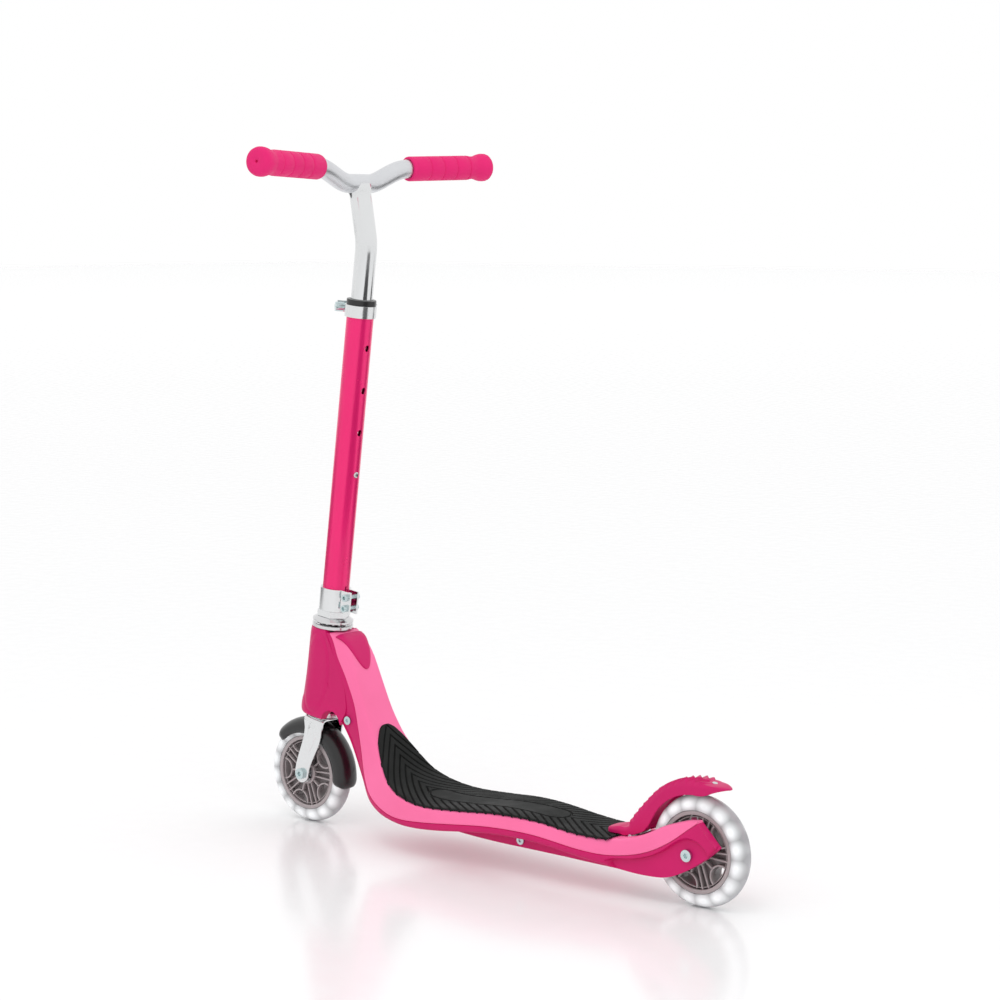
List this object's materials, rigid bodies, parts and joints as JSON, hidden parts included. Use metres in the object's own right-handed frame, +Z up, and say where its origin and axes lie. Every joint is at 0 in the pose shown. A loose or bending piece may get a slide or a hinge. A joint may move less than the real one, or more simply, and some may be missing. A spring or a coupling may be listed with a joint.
{
  "type": "kick scooter",
  "caption": "Children's two-wheel kick scooter with light-up wheels, a quick-release adjustable T-bar, a grooved footboard mat and a foot-pressed fender brake.",
  "frame": {"origin": "on the ground, midway between the two ends of the scooter and on its centre plane, under the centre of its box", "axes": "+X forwards, +Y to the rider's left, +Z up, with the scooter standing upright on both wheels"},
  "size_m": [0.697, 0.3908, 0.8024],
  "materials": {
    "magenta_shell": "satin",
    "pink_cover": "glossy",
    "dark_cap": "matte",
    "mat_rubber": "matte, grained",
    "grip_rubber": "matte",
    "steel_frame": "satin black paint",
    "column_paint": "metallic magenta paint",
    "chrome": "polished",
    "bar_alloy": "satin",
    "zinc_steel": "zinc plated",
    "bearing_steel": "polished",
    "spring_steel": "oiled",
    "black_plastic": "glossy",
    "clear_tyre": "clear, glossy",
    "wheel_core": "smoked, satin",
    "led_board": "white",
    "magnet": "nickel plated"
  },
  "bodies": {
    "frame": {"spine_tube": "steel_frame", "head_tube": "steel_frame", "rear_dropouts": "steel_frame", "lower_shell": "magenta_shell", "top_cover": "pink_cover", "head_shell": "magenta_shell", "neck_cap": "dark_cap", "tread_mat": "mat_rubber", "shell_bolts": "zinc_steel", "lower_cup": "bearing_steel", "upper_cup": "bearing_steel", "headset_balls": "bearing_steel", "rear_axle_bolt": "zinc_steel", "rear_axle_nut": "zinc_steel", "rear_spacers": "bearing_steel", "rear_magnet_sleeve": "magnet", "rear_bearing_inner": "bearing_steel", "fender_pin": "zinc_steel", "fender_spring": "spring_steel"},
    "rear_wheel": {"rear_tyre": "clear_tyre", "rear_core": "wheel_core", "rear_led_ring": "led_board", "rear_bearing_outer": "bearing_steel", "rear_bearing_balls": "bearing_steel"},
    "fender_brake": {"fender": "magenta_shell", "brake_liner": "mat_rubber", "fender_rivet": "bearing_steel"},
    "steering": {"fork": "chrome", "steerer_tube": "bearing_steel", "crown_race": "bearing_steel", "adjusting_cone": "bearing_steel", "lock_nut": "chrome", "lower_clamp": "chrome", "lower_clamp_bolts": "zinc_steel", "column_tube": "column_paint", "column_bushing": "black_plastic", "upper_clamp": "chrome", "clamp_skewer": "zinc_steel", "adjuster_nut": "zinc_steel", "front_mudguard": "black_plastic", "mudguard_screw": "zinc_steel", "front_axle_bolt": "zinc_steel", "front_axle_nut": "zinc_steel", "front_spacers": "bearing_steel", "front_magnet_sleeve": "magnet", "front_bearing_inner": "bearing_steel"},
    "front_wheel": {"front_tyre": "clear_tyre", "front_core": "wheel_core", "front_led_ring": "led_board", "front_bearing_outer": "bearing_steel", "front_bearing_balls": "bearing_steel"},
    "clamp_lever": {"clamp_lever": "chrome"},
    "t_bar": {"stem_tube": "chrome", "handlebar": "bar_alloy", "left_grip": "grip_rubber", "right_grip": "grip_rubber", "button_spring": "spring_steel"},
    "snap_button": {"snap_button": "bearing_steel"}
  },
  "joints": [
    {"name": "steer", "type": "hinge", "parent": "frame", "child": "steering", "pos_m": [0.2761, 0, 0.05893], "axis": [-0.1305, 0, 0.9914], "continuous": true},
    {"name": "rear_spin", "type": "hinge", "parent": "frame", "child": "rear_wheel", "pos_m": [-0.288, 0, 0.0605], "axis": [0, 1, 0], "continuous": true},
    {"name": "front_spin", "type": "hinge", "parent": "steering", "child": "front_wheel", "pos_m": [0.288, 0, 0.0605], "axis": [0, 1, 0], "continuous": true},
    {"name": "fender_press", "type": "hinge", "parent": "frame", "child": "fender_brake", "pos_m": [-0.206, 0, 0.065], "axis": [0, -1, 0], "range_deg": [0, 1.8], "stiffness_Nm_per_rad": 2, "springref_deg": -5.73, "deforming": ["fender_spring"]},
    {"name": "bar_slide", "type": "slide", "parent": "steering", "child": "t_bar", "axis": [-0.1305, 0, 0.9914], "range_m": [0, 0.15], "deforming": ["snap_button", "button_spring"]},
    {"name": "lever_swing", "type": "hinge", "parent": "steering", "child": "clamp_lever", "pos_m": [0.2128, -0.03048, 0.61947], "axis": [0.1305, 0, -0.9914], "range_deg": [0, 110]},
    {"name": "snap_press", "type": "slide", "parent": "t_bar", "child": "snap_button", "axis": [0.9914, 0, 0.1305], "range_m": [0, 0.003], "stiffness_N_per_m": 300, "springref_m": -0.003, "deforming": ["button_spring"]}
  ]
}
